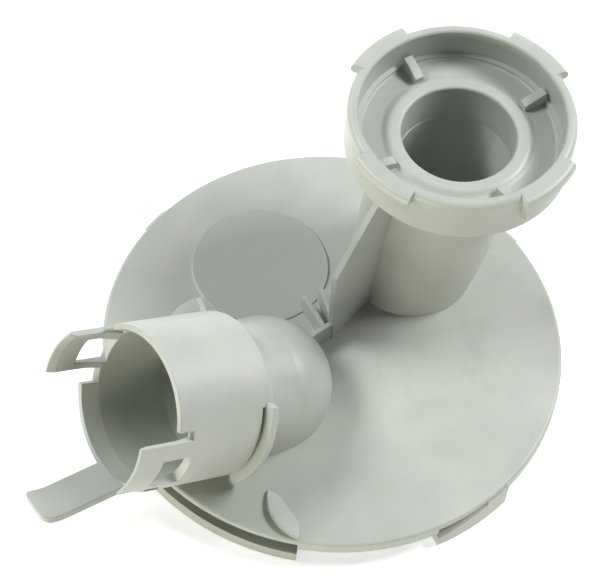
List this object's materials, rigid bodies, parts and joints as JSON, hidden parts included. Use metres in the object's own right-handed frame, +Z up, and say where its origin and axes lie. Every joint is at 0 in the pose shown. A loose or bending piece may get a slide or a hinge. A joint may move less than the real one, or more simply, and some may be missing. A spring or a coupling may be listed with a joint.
{
  "type": "dishwasher sump outlet cover",
  "caption": "Round moulded sump lid with an upright tube and collar for a lower spray arm and a sloping snap socket for the riser pipe to the upper arm.",
  "frame": {"origin": "on the lid's axis, in the plane of the skirt's lower edge, on which the cover stands", "axes": "+Z up along the lid's axis, -X the way the side pipe runs out, +Y the side of the flat round pad"},
  "size_m": [0.1899, 0.1411, 0.0793],
  "materials": {
    "cover": "light grey polypropylene as moulded, with a soft sheen"
  },
  "bodies": {
    "root": {"outlet_cover": "cover"}
  },
  "joints": []
}
